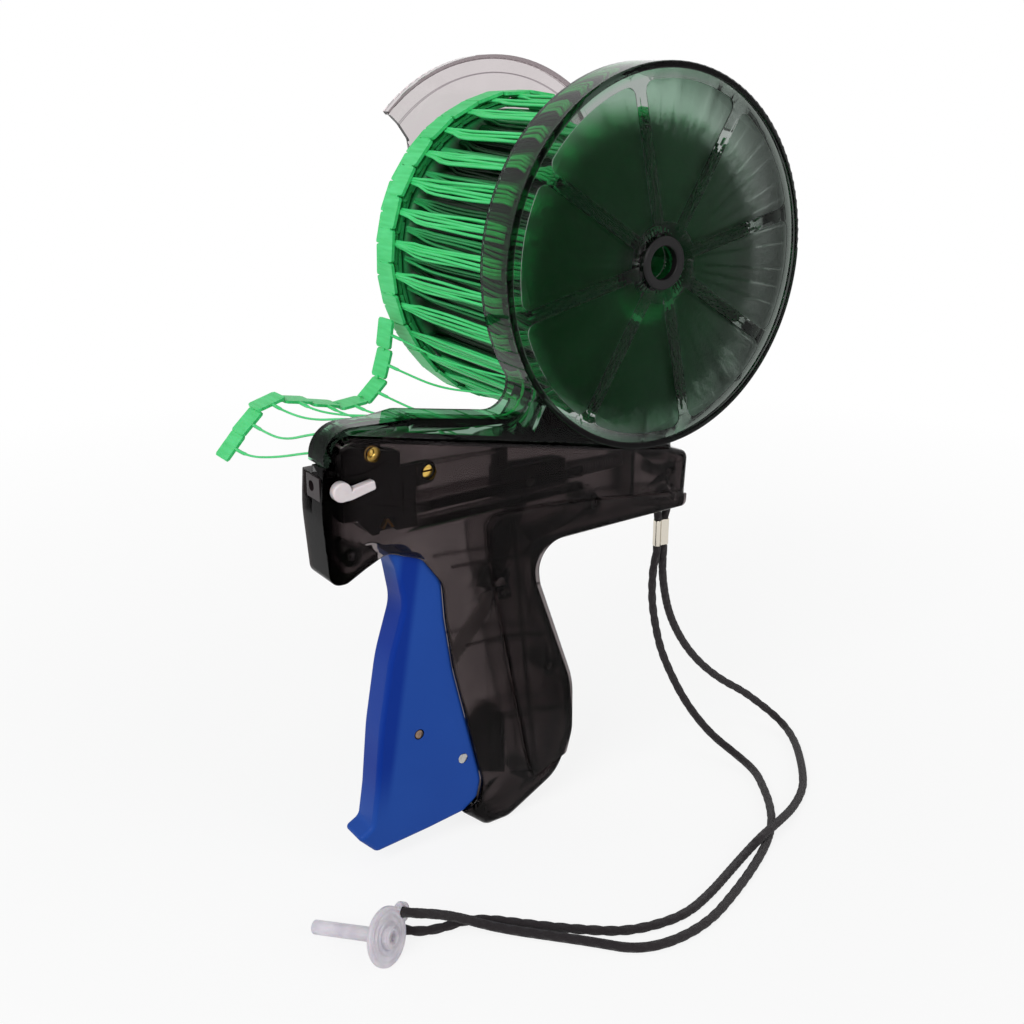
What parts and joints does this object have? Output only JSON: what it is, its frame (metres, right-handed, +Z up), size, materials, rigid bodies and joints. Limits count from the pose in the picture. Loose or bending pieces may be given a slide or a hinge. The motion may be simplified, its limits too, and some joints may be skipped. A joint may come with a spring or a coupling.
{
  "type": "garment tag attacher",
  "caption": "Hand-held garment tag attacher with a side reel of paddle fasteners, squeeze trigger, needle lock lever, wrist strap and needle guard.",
  "frame": {"origin": "middle of the palm grip, on the body's middle plane", "axes": "+X towards the tail, -X the nose and the way the needle points, +Y towards the roll's side, +Z up"},
  "size_m": [0.2052, 0.1806, 0.2448],
  "materials": {
    "smoke_housing": "smoke clear moulding, satin outside",
    "smoke_holder": "smoke clear moulding with frosted panels",
    "clear_retainer": "pale clear moulding",
    "black_nylon": "moulded",
    "white_acetal": "moulded",
    "blue_abs": "satin moulding",
    "green_polypropylene": "moulded film",
    "brass_hardware": "turned",
    "spring_bronze": "drawn strip",
    "zinc_steel": "zinc plated",
    "brown_pin_steel": "oiled",
    "spring_steel": "drawn wire",
    "nickel_ferrule": "bright nickel plate",
    "black_braid": "round braid",
    "milky_guard": "translucent moulding"
  },
  "bodies": {
    "body": {"near_shell": "smoke_housing", "far_shell": "smoke_housing", "shell_screws": "zinc_steel", "strap_pin": "zinc_steel", "reel_holder": "smoke_holder", "hub_bush": "black_nylon", "feed_block": "black_nylon", "block_screws": "brass_hardware", "wheel_axle": "brass_hardware", "needle_clamp": "zinc_steel", "strip_knife": "zinc_steel", "index_spring": "spring_bronze", "trigger_pivot_pin": "zinc_steel", "crank_pin": "zinc_steel", "return_spring": "spring_steel", "tbar_rail": "green_polypropylene", "loose_fasteners": "green_polypropylene", "strap_ferrule": "nickel_ferrule", "strap_loop": "black_braid", "strap_cord": "black_braid", "needle_guard": "milky_guard"},
    "trigger": {"trigger": "blue_abs", "trigger_drive_pin": "brown_pin_steel"},
    "push_link": {"push_link": "zinc_steel"},
    "crank": {"drive_crank": "black_nylon", "toe_pin": "zinc_steel"},
    "carriage": {"slide_carriage": "black_nylon", "carriage_pin": "zinc_steel", "push_rod": "zinc_steel"},
    "feed_wheel": {"feed_wheel": "black_nylon"},
    "lock_lever": {"needle_lock_lever": "white_acetal"},
    "retainer": {"reel_retainer": "clear_retainer"},
    "roll": {"roll_core": "green_polypropylene", "fastener_roll": "green_polypropylene"}
  },
  "joints": [
    {"name": "trigger_pull", "type": "hinge", "parent": "body", "child": "trigger", "pos_m": [-0.0209, 0, -0.0279], "axis": [0, 1, 0], "range_deg": [0, 15], "stiffness_Nm_per_rad": 1.2, "springref_deg": -8.59},
    {"name": "link_pivot", "type": "hinge", "parent": "trigger", "child": "push_link", "pos_m": [-0.0371, 0.0023, -0.0137], "axis": [0, 1, 0], "range_deg": [-16.2, 0]},
    {"name": "crank_pivot", "type": "hinge", "parent": "body", "child": "crank", "pos_m": [-0.0065, 0, 0.0315], "axis": [0, 1, 0], "range_deg": [-44.7, 0]},
    {"name": "carriage_slide", "type": "slide", "parent": "body", "child": "carriage", "axis": [-1, 0, 0], "range_m": [0, 0.0251], "deforming": ["return_spring"]},
    {"name": "feed_wheel_turn", "type": "hinge", "parent": "body", "child": "feed_wheel", "pos_m": [-0.0502, 0, 0.0812], "axis": [0, 1, 0], "continuous": true},
    {"name": "lock_lever_turn", "type": "hinge", "parent": "body", "child": "lock_lever", "pos_m": [-0.0618, 0, 0.0728], "axis": [0, 1, 0], "range_deg": [0, 90]},
    {"name": "retainer_pull", "type": "slide", "parent": "body", "child": "retainer", "axis": [0, 1, 0], "range_m": [0, 0.08]},
    {"name": "roll_spin", "type": "hinge", "parent": "body", "child": "roll", "pos_m": [0.0552, 0, 0.1215], "axis": [0, 1, 0], "continuous": true}
  ],
  "couplings": [
    {"joint": "link_pivot", "follows": "trigger_pull", "ratio": -1.0686},
    {"joint": "crank_pivot", "follows": "trigger_pull", "ratio": -2.9714},
    {"joint": "carriage_slide", "follows": "trigger_pull", "m_per_rad": 0.095493}
  ]
}
